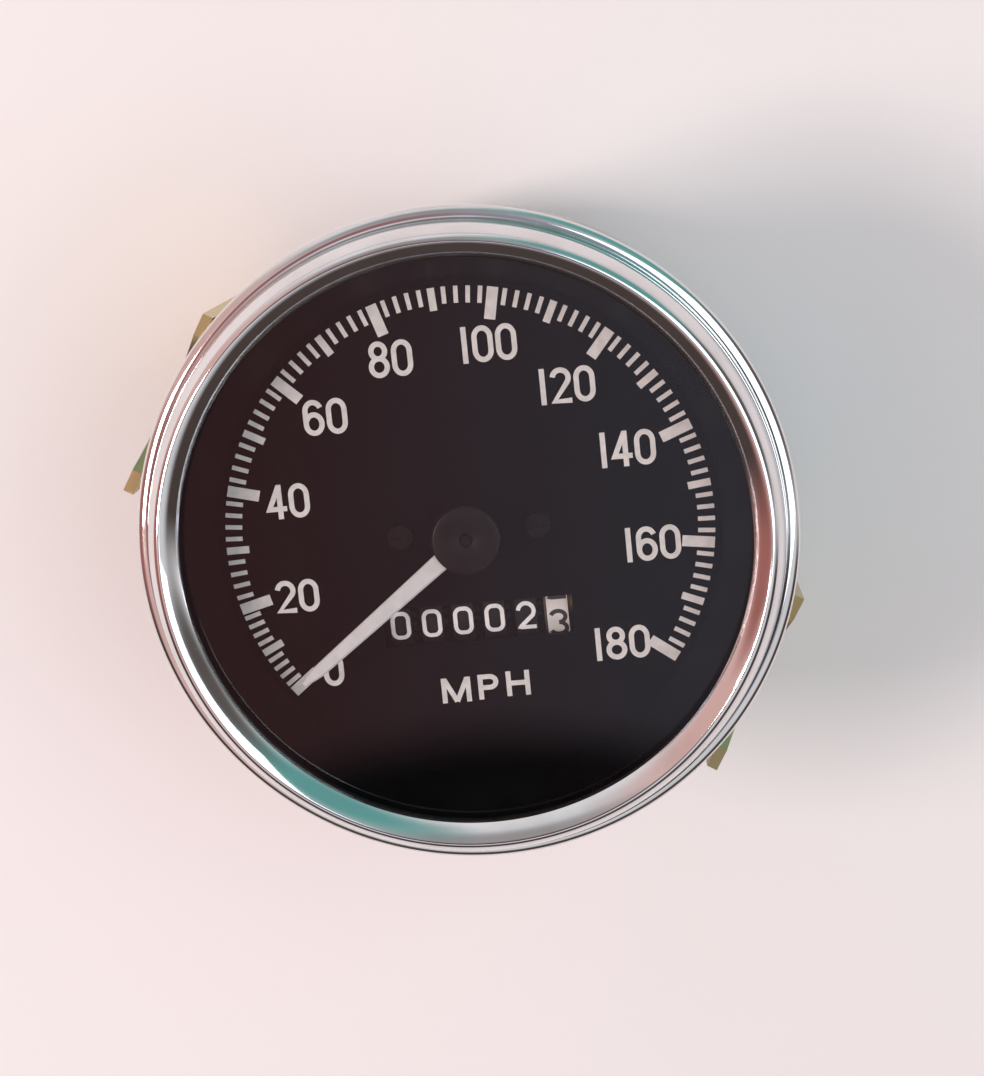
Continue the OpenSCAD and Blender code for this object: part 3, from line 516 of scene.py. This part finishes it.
def scale_numbers(finish):
    """White numbers and unit mark printed on the dial."""
    # Centre and height of each number, and centre and width of each letter
    places = {
        "0": (-19.67, -16.98, 4.4),
        "20": (-23.32, -6.72, 4.4),
        "40": (-23.17, 5.94, 4.55),
        "60": (-17.04, 16.53, 4.7),
        "80": (-7.82, 23.26, 4.75),
        "100": (4.88, 24.07, 4.75),
        "120": (14.36, 17.77, 4.7),
        "140": (21.34, 8.87, 4.65),
        "160": (23.48, -3.81, 4.55),
        "180": (18.36, -16.64, 4.4),
    }
    letters = {"M": (-3.82, -21.12, 3.85), "P": (0.44, -21.01, 2.7), "H": (4.36, -20.87, 3.1)}
    verts, faces = [], []

    def put(x, y, lift):
        return (x, y, DIAL_FACE + lift)

    for marks, (x, y, height) in places.items():
        strokes = word(marks, (x, y), NUMBER_WIDTH, height, NUMBER_PEN, NUMBER_GAP, NUMBER_CORNER, BAR_SAVING)
        inked(strokes, NUMBER_PEN, put, verts, faces)
    for mark, (x, y, width) in letters.items():
        strokes = word(mark, (x, y), width, LETTER_HEIGHT, LETTER_PEN, 0.0, NUMBER_CORNER)
        inked(strokes, LETTER_PEN, put, verts, faces)
    piece("scale_numbers", verts, faces, finish, BODY, turn_out=True)


def drum_digits(name, body, x, shown, finish):
    """Ten digits round a drum; shown is the reading that faces the window's middle."""
    verts, faces = [], []
    for digit in range(10):
        middle = (shown - digit) * DIGIT_TURN

        def put(px, py, lift):
            a = middle + py / DRUM_RADIUS
            r = DRUM_RADIUS + lift
            return (x + px, DRUM_AXIS[0] + r * math.sin(a), DRUM_AXIS[1] + r * math.cos(a))

        strokes = []
        flat = word(str(digit), (0.0, 0.0), DIGIT_WIDTH, DIGIT_HEIGHT, DIGIT_PEN, 0.0, DIGIT_CORNER)
        for path, closed in flat:
            bent = soften(path + path[:1], DIGIT_BEND)[:-1] if closed else soften(path, DIGIT_BEND)
            strokes.append((bent, closed))
        inked(strokes, DIGIT_PEN, put, verts, faces)
    piece(name, verts, faces, finish, body, turn_out=True)


def counter(drum_white, drum_black, digit_white, ink_black):
    """Five black drums with white digits, and a white drum with black digits for the tenths."""
    readings = {"tenths": 3 - TENTHS_LAG, "units": 2, "tens": 0}
    readings.update({"hundreds": 0, "thousands": 0, "ten_thousands": 0})
    rightmost = (len(readings) - 1) / 2
    for place, (name, shown) in enumerate(readings.items()):
        x = (rightmost - place) * DRUM_PITCH
        if name == "tenths":
            dress(drum_white, f"drum_{name}")
            drum_digits(f"digits_{name}", name, x, shown, ink_black)
        else:
            dress(drum_black, f"drum_{name}")
            drum_digits(f"digits_{name}", name, x, shown, digit_white)


def socket_named(tree, name):
    """The identifier of a node group's input."""
    return next(s.identifier for s in tree.interface.items_tree if s.name == name and s.in_out == "INPUT")


def group(name, inputs):
    """An empty geometry group with named inputs, its board and its input wires."""
    tree = bpy.data.node_groups.new(name, "GeometryNodeTree")
    for label, kind in inputs.items():
        tree.interface.new_socket(label, in_out="INPUT", socket_type="NodeSocket" + kind)
    tree.interface.new_socket("Geometry", in_out="OUTPUT", socket_type="NodeSocketGeometry")
    board = Board(tree)
    given = tree.nodes.new("NodeGroupInput")
    return tree, board, {label: Wire(board, given.outputs[label]) for label in inputs}


def close_group(board, instances, finish):
    """Ends a group with plain geometry in one finish."""
    whole = board.node("GeometryNodeRealizeInstances", {}, {"Geometry": instances})
    faced = board.node("GeometryNodeSetMaterial", {}, {"Geometry": whole, "Material": finish})
    board.node("NodeGroupOutput", {}, {"Geometry": faced})


def ring_of(board, count, radius, turn, height, shape, size):
    """Copies of a shape on points at the given turns about the z axis."""
    points = board.node("GeometryNodeMeshLine", {}, {"Count": count, "Offset": (0.0, 0.0, 0.0)})
    x = radius * turn.maths("COSINE", turn)
    y = radius * turn.maths("SINE", turn)
    spot = board.node("ShaderNodeCombineXYZ", {}, {"X": x, "Y": y, "Z": height})
    points = board.node("GeometryNodeSetPosition", {}, {"Geometry": points, "Position": spot})
    way = board.node("ShaderNodeCombineXYZ", {}, {"Z": turn})
    sockets = {"Points": points, "Instance": shape, "Rotation": way, "Scale": size}
    return board.node("GeometryNodeInstanceOnPoints", {}, sockets)


def marks_group():
    """The scale's marks: short every 2, middling every 10 and long every 20."""
    names = ("Zero", "First span", "Span", "Radius", "Height", "Thickness", "Long", "Long width", "Middle")
    names += ("Middle width", "Short", "Short width")
    inputs = {"Marks": "Int", "Finish": "Material"}
    inputs.update({name: "Float" for name in names})
    tree, board, given = group("scale_marks", inputs)
    index = board.node("GeometryNodeInputIndex") + 0.0
    first = index.least(10.0) / 10.0 * given["First span"]
    rest = (index - 10.0).most(0.0) / 10.0 * given["Span"]
    turn = given["Zero"] - first - rest
    long = (index % 10.0) < 0.5
    middle = (index % 5.0) < 0.5
    length = given["Short"] + (given["Middle"] - given["Short"]) * middle
    length = length + (given["Long"] - given["Middle"]) * long
    width = given["Short width"] + (given["Middle width"] - given["Short width"]) * middle
    width = width + (given["Long width"] - given["Middle width"]) * long
    size = board.node("ShaderNodeCombineXYZ", {}, {"X": length, "Y": width, "Z": given["Thickness"]})
    bar = board.node("GeometryNodeMeshCube", {}, {"Size": (1.0, 1.0, 1.0)})
    bar = board.node("GeometryNodeTransform", {}, {"Geometry": bar, "Translation": (-0.5, 0.0, 0.5)})
    marks = ring_of(board, given["Marks"], given["Radius"], turn, given["Height"], bar, size)
    close_group(board, marks, given["Finish"])
    return tree


def ribs_group():
    """Straight knurling: upright ridges all round a grip."""
    inputs = {"Ribs": "Int", "Finish": "Material", "Centre": "Vector"}
    inputs.update({name: "Float" for name in ("Radius", "Height", "Length", "Depth")})
    tree, board, given = group("grip_ribs", inputs)
    index = board.node("GeometryNodeInputIndex") + 0.0
    turn = index * (2 * math.pi) / given["Ribs"]
    depth, length = given["Depth"], given["Length"]
    size = board.node("ShaderNodeCombineXYZ", {}, {"X": depth, "Y": depth, "Z": length})
    on_edge = (0.0, 0.0, math.pi / 4)
    ridge = board.node("GeometryNodeMeshCube", {}, {"Size": (1.0, 1.0, 1.0)})
    ridge = board.node("GeometryNodeTransform", {}, {"Geometry": ridge, "Rotation": on_edge})
    ridges = ring_of(board, given["Ribs"], given["Radius"], turn, given["Height"], ridge, size)
    ridges = board.node("GeometryNodeTransform", {}, {"Geometry": ridges, "Translation": given["Centre"]})
    close_group(board, ridges, given["Finish"])
    return tree


def grown(name, tree, values, finish, body):
    """A plain mesh piece made by a geometry group."""
    made = bpy.data.objects.new(name, bpy.data.meshes.new(name))
    bpy.context.scene.collection.objects.link(made)
    maker = made.modifiers.new("maker", "NODES")
    maker.node_group = tree
    for label, value in values.items():
        maker[socket_named(tree, label)] = value
    maker[socket_named(tree, "Finish")] = finish
    whole = made.evaluated_get(bpy.context.evaluated_depsgraph_get())
    mesh = bpy.data.meshes.new_from_object(whole)
    made.modifiers.clear()
    made.data = mesh
    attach(made, body)


def plated_bezel(finish):
    """The rolled bezel: a beaded flange, a crease, a tall rounded rim and a lip over the glass."""
    flange = [(39.9, 0.0)] + arc(41.55, 0.95, 0.95, 0.95, -90, 0, 12)
    flange += arc(41.05, 0.95, 1.45, 0.95, 0, 84, 20)[1:]
    crease = [(40.95, 1.7), (40.8, 1.6)]
    rim = arc(38.6, 1.9, 2.2, 6.1, 0, 90, 40)[1:]
    slope = arc(41.45, 2.28, 6.39, 6.39, 116.4, 142.1, 24)[1:-1]
    lip = [(36.4, 6.2), (36.4, 5.6), (39.5, 5.6), (39.5, 1.3)]
    fold = [(41.9, 1.3), (41.9, 0.6), (39.9, 0.6)]
    outline = flange + crease + rim + slope + lip + fold
    made = turned("bezel_rim", outline, finish, BODY, steps=288)
    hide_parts("bezel")


def pointer(white, black):
    """A flat blade with eased edges and a flat hub with a rounded edge on a long stem."""
    root, hub, neck, length = 3.2, 4.5, 25.9, 28.8
    # Half widths along the blade: its full outline, and its top inside the eased edge
    full = [(root, 1.17), (hub, 1.17), (neck, 0.82), (length, 0.36)]
    eased = [(root, 0.93), (hub, 0.93), (neck - 0.1, 0.6), (length - 0.2, 0.2)]
    shoulder = BLADE_TOP - 0.16
    verts = []
    a = math.radians(REST_ANGLE)
    for sides, z in ((full, BLADE_UNDER), (full, shoulder), (eased, BLADE_TOP)):
        for x, y in [(x, -y) for x, y in sides] + sides[::-1]:
            verts.append((x * math.cos(a) - y * math.sin(a), x * math.sin(a) + y * math.cos(a), z))
    count = 2 * len(full)
    faces = [tuple(range(count))[::-1], tuple(range(2 * count, 3 * count))]
    for level in (0, count):
        for i in range(count):
            k = (i + 1) % count
            faces.append((level + i, level + k, level + count + k, level + count + i))
    blade = piece("pointer_arm", verts, faces, white, "pointer", turn_out=True)
    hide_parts("pointer_blade")
    bore, stem, foot = 0.71, 1.75, -3.8
    outline = [(bore, foot), (stem, foot), (stem, BLADE_TOP), (hub, BLADE_TOP)]
    outline += arc(4.05, 2.6, 0.45, 0.45, 0, 80, 10) + [(3.0, 3.08), (1.0, 3.1), (0.8, 3.02), (bore, 2.9)]
    cap = turned("hub_cap", outline, black, "pointer", steps=96)
    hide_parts("pointer_hub")


def boss_thread(r, z, a):
    """Cuts a screw thread on the boss below its spigot."""
    pitch, depth, steep = 1.06, 0.55, 2.6
    start, end, run_in, run_out = -49.0, -59.4, 0.6, 0.4
    chamfer = 7.5
    if r < chamfer or z > start or z < end:
        return r
    phase = (z / pitch + a / (2 * math.pi)) % 1.0
    groove = min(1.0, steep * min(phase, 1 - phase))
    ends = min(1.0, (start - z) / run_in, (z - end) / run_out)
    return r - depth * (1 - groove) * ends


def drive_end(finish):
    """The threaded boss that takes the drive cable."""
    steps, crest, top, length = 110, 7.94, -48.3, 11.1
    spigot = [(4.86, -44.3), (10.44, -44.3), (10.44, -46.78), (8.74, -46.78), (8.74, -48.08), (crest, -48.08)]
    side = [(crest, top - length * i / steps) for i in range(steps + 1)]
    mouth = [(7.5, -59.88), (5.5, -59.88), (5.2, -59.6), (5.2, -53.3), (4.86, -53.3)]
    outline = spigot + side + mouth
    made = turned("cable_boss", outline, finish, BODY, steps=120, cutter=boss_thread)
    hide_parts("drive_boss")


def grip_nuts(finish, ribs):
    """Round brass thumb nuts with a knurled grip between two plain collars."""
    collar = [(2.4, -61.08), (5.9, -61.08), (6.5, -60.7), (6.5, -60.1), (6.15, -59.9)]
    grip = [(6.7, -59.5), (6.7, -54.7)]
    face = [(6.15, -54.3), (6.5, -54.1), (6.5, -53.4), (6.1, -53.08), (2.4, -53.08)]
    middle = -57.1
    for number, centre in enumerate(NUT_PLACES, 1):
        body = f"nut_{number}"
        outline = collar + grip + face
        nut = turned(f"thumb_nut_{number}", outline, finish, body, centre, steps=88)
        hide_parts(f"clamp_nut_{number}")
        values = {
            "Ribs": 44,
            "Radius": 6.66 * MM,
            "Height": 0.0,
            "Length": 4.7 * MM,
            "Depth": 0.48 * MM,
            "Centre": (centre[0] * MM, centre[1] * MM, middle * MM),
        }
        grown(f"nut_grip_{number}", ribs, values, finish, body)


def lamp_holders(steel, contact):
    """Pressed lamp holders: a beaded flange, a ribbed tail and a raised contact."""
    cup = [(0.0, -43.78), (5.6, -43.78), (6.0, -44.1), (6.0, -47.48), (7.1, -47.48)]
    bead = arc(7.0, -47.98, 0.5, 0.5, 90, -90, 10)
    neck = [(5.9, -48.68), (5.2, -48.4), (4.7, -48.6), (4.4, -49.1), (4.4, -50.2)]
    groove = [(4.15, -50.4), (4.15, -50.9), (4.4, -51.1), (4.4, -52.6)]
    tail = arc(3.8, -52.6, 0.6, 0.6, 0, -90, 8) + [(2.2, -53.2), (2.1, -52.7), (0.0, -52.7)]
    tip = [(0.0, -52.6), (1.5, -52.6), (1.5, -53.3)] + arc(0.9, -53.3, 0.6, 0.6, 0, -90, 6) + [(0.0, -53.95)]
    for number, angle in enumerate(HOLDER_ANGLES, 1):
        turn = math.radians(angle)
        centre = (HOLDER_RADIUS * math.cos(turn), HOLDER_RADIUS * math.sin(turn))
        outline = cup + bead + neck + groove + tail
        turned(f"lamp_holder_{number}", outline, steel, BODY, centre, steps=72)
        turned(f"lamp_contact_{number}", tip, contact, BODY, centre, steps=40)
    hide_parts("bulb_holders")


def dress(finish, *nodes):
    """Gives CAD nodes a finish."""
    for name in nodes:
        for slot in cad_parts[name].material_slots:
            slot.material = finish


def lamp(name, place, size, power, tone):
    """A soft square lamp that faces the instrument."""
    light = bpy.data.lights.new(name, "AREA")
    light.size = size
    light.energy = power
    light.color = tone
    made = bpy.data.objects.new(name, light)
    made.location = place
    made.rotation_euler = Vector(place).to_track_quat("Z", "Y").to_euler()
    bpy.context.scene.collection.objects.link(made)


def room():
    """A pale room with a dim ceiling: rosy on the left, green-blue at the top right, dark at the front."""
    world = bpy.data.worlds.new("room")
    bpy.context.scene.world = world
    world.use_nodes = True
    board = Board(world.node_tree)
    way = board.node("ShaderNodeTexCoord", output="Generated")
    parts = board.node("ShaderNodeSeparateXYZ", {}, {"Vector": way}).socket.node.outputs
    across, depth, height = (Wire(board, part) for part in parts)

    def toward(aim, start, end):
        """1 near a direction, 0 away from it; start and end are angles in degrees."""
        aim = Vector(aim).normalized()
        near = board.node("ShaderNodeVectorMath", {"operation": "DOT_PRODUCT"}, {0: way, 1: aim}, 1)
        return near.ramp(math.cos(math.radians(end)), math.cos(math.radians(start)))

    # Patches of wall: direction, inner and outer angle, tone
    patches = (
        ((-1.0, 0.0, 0.5), 25, 60, colour(0.74, 0.46, 0.42)),
        ((-0.93, -0.1, 0.36), 8, 26, colour(0.40, 0.15, 0.13)),
        ((-0.1, 0.62, 0.78), 6, 28, colour(0.36, 0.34, 0.34)),
        ((0.595, 0.804, 0.48), 10, 38, colour(0.14, 0.38, 0.36)),
        ((0.95, 0.22, 0.36), 6, 30, colour(0.12, 0.105, 0.10)),
    )
    tone = height.ramp(0.1, 0.5).tint(colour(0.84, 0.82, 0.82), colour(0.72, 0.72, 0.74))
    for aim, start, end, shade in patches:
        tone = toward(aim, start, end).tint(tone, shade)
    near_side = depth.ramp(-0.4, -0.12, 1.0, 0.0) * height.ramp(0.4, 0.62, 1.0, 0.0)
    tone = near_side.tint(tone, colour(0.075, 0.055, 0.05))
    ceiling = across.ramp(-0.17, 0.02).tint(colour(0.33, 0.14, 0.15), colour(0.32, 0.30, 0.37))
    tone = height.ramp(0.88, 0.935).tint(tone, ceiling)
    # A dark patch of ceiling that the glass mirrors over the lower dial
    tone = toward((-0.08, -0.47, 0.88), 12.3, 13.8).tint(tone, colour(0.015, 0.013, 0.015))
    light = board.node("ShaderNodeBackground", {}, {"Color": tone, "Strength": 1.0})
    board.node("ShaderNodeOutputWorld", {}, {"Surface": light})


def studio():
    """A pale table, a soft lamp on the left and a weaker one on the right."""
    low = cad_box[0][2]
    reach = 2.0
    mesh = bpy.data.meshes.new("table")
    edge = arc(0.0, 0.0, reach, reach, 0, 360, 64)[:-1]
    mesh.from_pydata([(x, y, low) for x, y in edge], [], [tuple(range(len(edge)))])
    mesh.materials.append(table_top())
    table = bpy.data.objects.new("table", mesh)
    bpy.context.scene.collection.objects.link(table)
    lamp("window_side", (-0.64, 0.05, 0.77), 0.3, 5.3, (1.0, 0.84, 0.80))
    lamp("right_fill", (0.52, 0.10, 0.85), 0.75, 3.0, (0.86, 0.95, 1.0))
    room()


def camera():
    """The photograph's view: nearly straight down, a little from the top right."""
    tilt, azimuth, roll = (math.radians(angle) for angle in (11.7, 67.6, 5.91))
    distance = 0.35
    flat = math.sin(tilt)
    back = Vector((flat * math.cos(azimuth), flat * math.sin(azimuth), math.cos(tilt)))
    right = Vector((0.0, 1.0, 0.0)).cross(back).normalized()
    up = back.cross(right)
    across = right * math.cos(roll) - up * math.sin(roll)
    above = right * math.sin(roll) + up * math.cos(roll)
    lens = bpy.data.cameras.new("camera")
    lens.sensor_width = 36.0
    lens.lens = 91.2
    lens.shift_x = 0.023
    lens.shift_y = -0.0016
    lens.clip_start = 0.01
    made = bpy.data.objects.new("camera", lens)
    aim = Matrix((across, above, back)).transposed().to_quaternion()
    made.matrix_world = Matrix.LocRotScale(back * distance, aim, None)
    bpy.context.scene.collection.objects.link(made)
    bpy.context.scene.camera = made


def print_marks(finish):
    """The scale's marks, printed like the numbers."""
    sizes = {
        "Marks": 91,
        "Zero": math.radians(SCALE_ZERO),
        "First span": math.radians(FIRST_SPAN),
        "Span": math.radians(SPAN),
        "Radius": MARK_RADIUS * MM,
        "Height": DIAL_FACE * MM,
        "Thickness": PRINT_LIFT * MM,
        "Long": 4.2 * MM,
        "Long width": 1.45 * MM,
        "Middle": 2.95 * MM,
        "Middle width": 0.95 * MM,
        "Short": 2.2 * MM,
        "Short width": 0.58 * MM,
    }
    grown("scale_marks", marks_group(), sizes, finish, BODY)


def front_pieces():
    """Bezel, glass, dial, print, pointer and counter."""
    print_white = paint(
        "print_white", colour(0.78, 0.74, 0.72), colour(0.66, 0.63, 0.62), size=1.2, rough=0.5
    )
    digit_white = paint(
        "digit_white", colour(0.92, 0.88, 0.88), colour(0.80, 0.77, 0.78), size=1.2, rough=0.5
    )
    pointer_white = paint(
        "pointer_white", colour(0.70, 0.68, 0.69), colour(0.61, 0.60, 0.61), size=2.0, rough=0.42
    )
    mask_black = paint(
        "mask_black", colour(0.0030, 0.0026, 0.0031), colour(0.0020, 0.0019, 0.0024),
        size=6.0, rough=0.36, relief=0.001, gloss=0.12,
    )
    hub_black = paint(
        "hub_black", colour(0.0058, 0.0036, 0.0042), colour(0.0040, 0.0025, 0.0030),
        size=3.0, rough=0.34, relief=0.002, gloss=0.2,
    )
    drum_black = paint(
        "drum_black", colour(0.007, 0.006, 0.007), colour(0.004, 0.004, 0.0045),
        size=2.0, rough=0.4, gloss=0.25,
    )
    drum_white = paint("drum_white", colour(0.72, 0.67, 0.65), colour(0.60, 0.56, 0.54), size=2.0, rough=0.45)
    ink_black = paint("ink_black", colour(0.02, 0.018, 0.018), colour(0.01, 0.01, 0.01), size=1.0, rough=0.5)
    rubber = paint(
        "seal_rubber", colour(0.020, 0.020, 0.020), colour(0.010, 0.010, 0.010),
        size=2.0, rough=0.65, relief=0.02,
    )
    screw_black = metal(
        "screw_black", colour(0.026, 0.023, 0.023), colour(0.014, 0.013, 0.013),
        size=0.8, rough=0.26, spread=0.12,
    )
    dress(window_glass("dial_glass", colour(0.985, 0.99, 0.985)), "glass")
    dress(rubber, "glass_seal")
    dress(mask_black, "mask_ring")
    dress(dial_black(), "dial_plate")
    dress(screw_black, "dial_screws", "pointer_spindle")
    plated_bezel(rim_plating())
    pointer(pointer_white, hub_black)
    scale_numbers(print_white)
    print_marks(print_white)
    counter(drum_white, drum_black, digit_white, ink_black)


def back_pieces():
    """Movement, counter train, case, clamp, drive boss and lamps."""
    steel = metal(
        "bright_steel", colour(0.60, 0.60, 0.61), colour(0.46, 0.45, 0.44), size=3.0, rough=0.26, spread=0.12
    )
    brass = metal(
        "turned_brass", colour(0.70, 0.55, 0.27), colour(0.56, 0.41, 0.19), size=3.0, rough=0.24, spread=0.14
    )
    alloy = metal(
        "cast_alloy", colour(0.58, 0.58, 0.57), colour(0.42, 0.42, 0.41),
        size=2.5, rough=0.36, spread=0.12, relief=0.008,
    )
    iron = metal(
        "magnet_iron", colour(0.16, 0.15, 0.15), colour(0.09, 0.085, 0.085),
        size=2.0, rough=0.5, spread=0.1, relief=0.01,
    )
    dress(window_glass("lamp_glass", colour(0.96, 0.95, 0.92)), "bulbs")
    dress(brass, "cross_wheel", "riser_wheel", "crown_gear", "main_bush", "spindle_bush", "thrust_washer")
    dress(brass, "hairspring_collet", "cup_collet", "spindle_collar", "dial_pillars", "regulator_lever")
    dress(brass, "axle_spacers", *(f"transfer_pinion_{n}" for n in range(1, 6)))
    dress(steel, "main_spindle", "drive_worm", "hairspring", "field_cup", "bridge_posts", "frame_screws")
    dress(steel, "left_plate", "right_plate", "cross_shaft", "cross_worm", "riser_shaft", "drum_axle")
    dress(steel, "transfer_axle", "studs", "case_screws", "spring_washers")
    dress(alloy, "drag_cup", "movement_base", "top_bridge")
    dress(iron, "magnet")
    dress(case_plating(), "case")
    dress(yellow_plating(), "clamp_bracket")
    drive_end(alloy)
    grip_nuts(brass, ribs_group())
    lamp_holders(steel, brass)


bpy.context.scene.view_settings.view_transform = "Standard"
front_pieces()
back_pieces()
studio()
camera()
